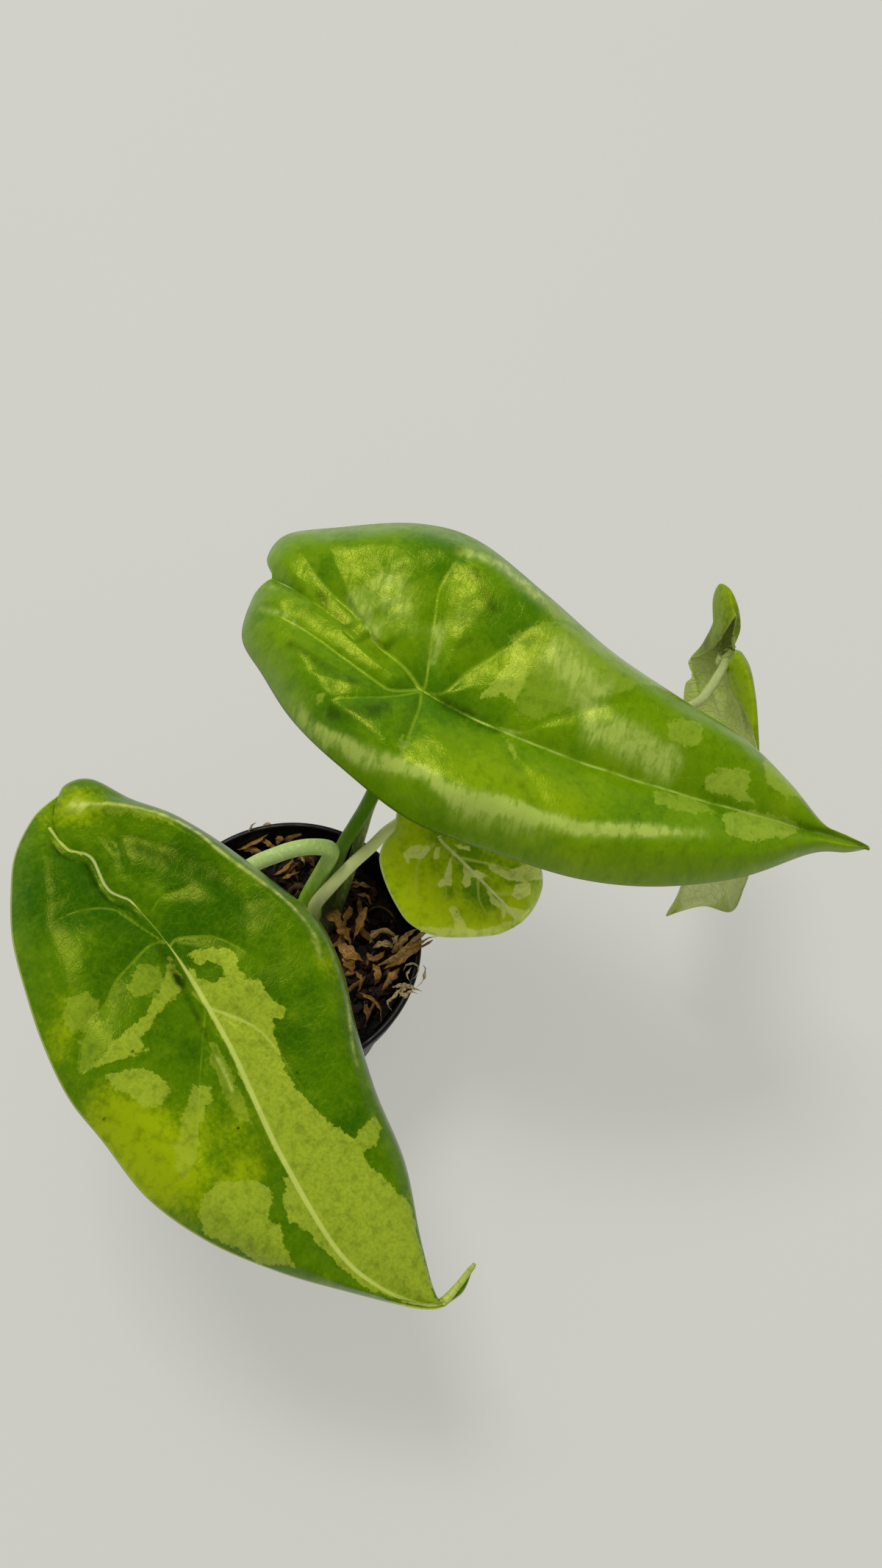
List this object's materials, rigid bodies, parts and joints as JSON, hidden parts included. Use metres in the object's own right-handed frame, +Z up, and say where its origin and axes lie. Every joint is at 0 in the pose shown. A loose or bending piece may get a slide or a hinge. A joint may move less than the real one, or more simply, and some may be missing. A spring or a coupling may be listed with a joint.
{
  "type": "potted variegated alocasia",
  "caption": "Young variegated aroid house plant: long-stalked, marbled green and cream heart-shaped leaves, rooted in bark mix and moss in a round black nursery pot.",
  "frame": {"origin": "centre of the pot's flat base, on the surface that it stands on", "axes": "+Z up along the pot's axis, -Y towards the viewer's side, +X to the viewer's right"},
  "size_m": [0.2589, 0.2229, 0.1721],
  "materials": {
    "pot": "thin moulded plastic, satin, with a slightly glossier rim",
    "potting_mix": "coarse damp bark and coir, matte",
    "moss": "dry fibrous moss and husk strands, matte",
    "stem_base": "fleshy green stem with dry brown sheaths, satin",
    "petiole": "smooth pale green stalk, waxy gloss",
    "leaf_front": "glossy leaf, bright green marbled with cream and pale green",
    "leaf_back": "glossy leaf, green with lighter green patches and sheen",
    "leaf_young": "soft gloss, yellow-green marbled with pale cream",
    "leaf_folded": "satin underside, pale yellow-green, darker glossy upper side"
  },
  "bodies": {
    "root": {"pot": "pot", "potting_mix": "potting_mix", "moss": "moss", "stem_base": "stem_base", "petiole_front": "petiole", "petiole_back": "petiole", "petiole_young": "petiole", "petiole_folded": "petiole", "leaf_front": "leaf_front", "leaf_back": "leaf_back", "leaf_young": "leaf_young", "leaf_folded": "leaf_folded"}
  },
  "joints": []
}
